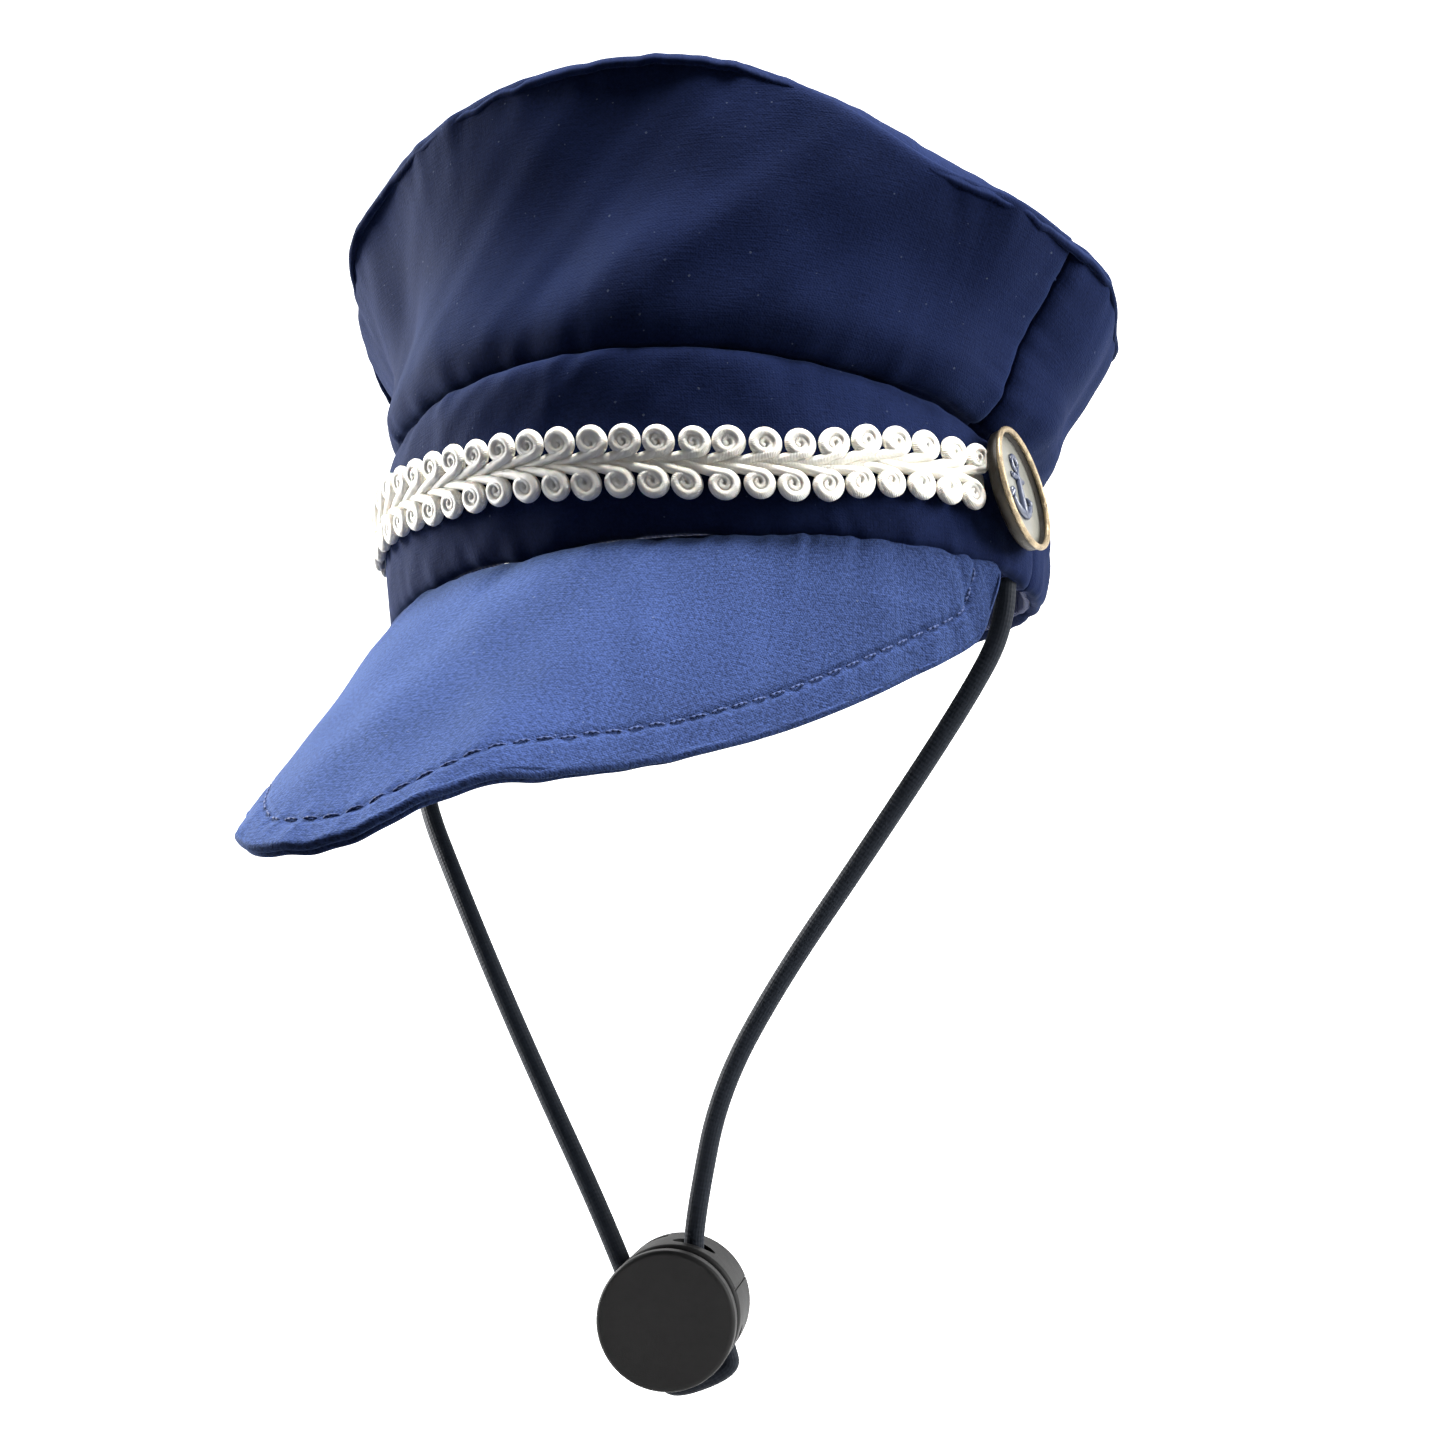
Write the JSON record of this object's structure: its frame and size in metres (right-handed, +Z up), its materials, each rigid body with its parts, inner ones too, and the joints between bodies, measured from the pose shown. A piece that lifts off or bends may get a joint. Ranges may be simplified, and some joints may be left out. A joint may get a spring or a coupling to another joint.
{
  "type": "small peaked cap",
  "caption": "Small navy peaked cap with a drooping peak, gimp braid between two metal buttons, and a chin cord with a sliding spring lock.",
  "frame": {"origin": "centre of the head opening, in the plane of the band's lower hem", "axes": "+Z up out of the crown, -Y the front where the peak is, +X the wearer's left"},
  "size_m": [0.1044, 0.126, 0.1566],
  "materials": {
    "navy_cotton": "woven cotton, matt",
    "peak_cotton": "woven cotton, matt",
    "navy_facing": "woven tape, matt",
    "lining": "thin plain weave",
    "buckram": "stiff open weave",
    "peak_board": "flexible sheet",
    "ivory_gimp": "shiny rayon gimp",
    "antique_brass": "antiqued, worn edges",
    "ivory_enamel": "smooth",
    "blue_enamel": "smooth",
    "elastic_cord": "round braided elastic",
    "black_plastic": "moulded, satin",
    "spring_steel": "drawn wire"
  },
  "bodies": {
    "cap": {"band_front": "navy_cotton", "band_back": "navy_cotton", "band_stiffener": "buckram", "sweatband": "navy_facing", "crown_front_panel": "navy_cotton", "crown_back_panel": "navy_cotton", "crown_top_panel": "navy_cotton", "lining_side": "lining", "lining_top": "lining", "peak_top_cover": "peak_cotton", "peak_board": "peak_board", "peak_under_cover": "peak_cotton", "braid_trim": "ivory_gimp", "cord_tab_left": "navy_facing", "cord_tab_right": "navy_facing", "button_left_shell": "antique_brass", "button_left_face": "ivory_enamel", "button_left_emblem": "blue_enamel", "button_left_shank": "antique_brass", "button_right_shell": "antique_brass", "button_right_face": "ivory_enamel", "button_right_emblem": "blue_enamel", "button_right_shank": "antique_brass"},
    "strap": {"cord_left": "elastic_cord", "cord_right": "elastic_cord", "cord_loop": "elastic_cord"},
    "lock": {"lock_drum": "black_plastic", "lock_spring": "spring_steel"},
    "push_button": {"lock_push_button": "black_plastic"}
  },
  "joints": [
    {"name": "strap_swing", "type": "hinge", "parent": "cap", "child": "strap", "pos_m": [0, 0.004, 0], "axis": [1, 0, 0], "range_deg": [-18, 60]},
    {"name": "lock_slide", "type": "slide", "parent": "strap", "child": "lock", "axis": [0, 0, 1], "range_m": [0, 0.05], "deforming": ["cord_left", "cord_right", "cord_loop"]},
    {"name": "button_press", "type": "slide", "parent": "lock", "child": "push_button", "axis": [-0.4669, 0.8635, 0.1908], "range_m": [0, 0.0024], "stiffness_N_per_m": 1200, "springref_m": -0.0015, "deforming": ["lock_spring"]}
  ]
}
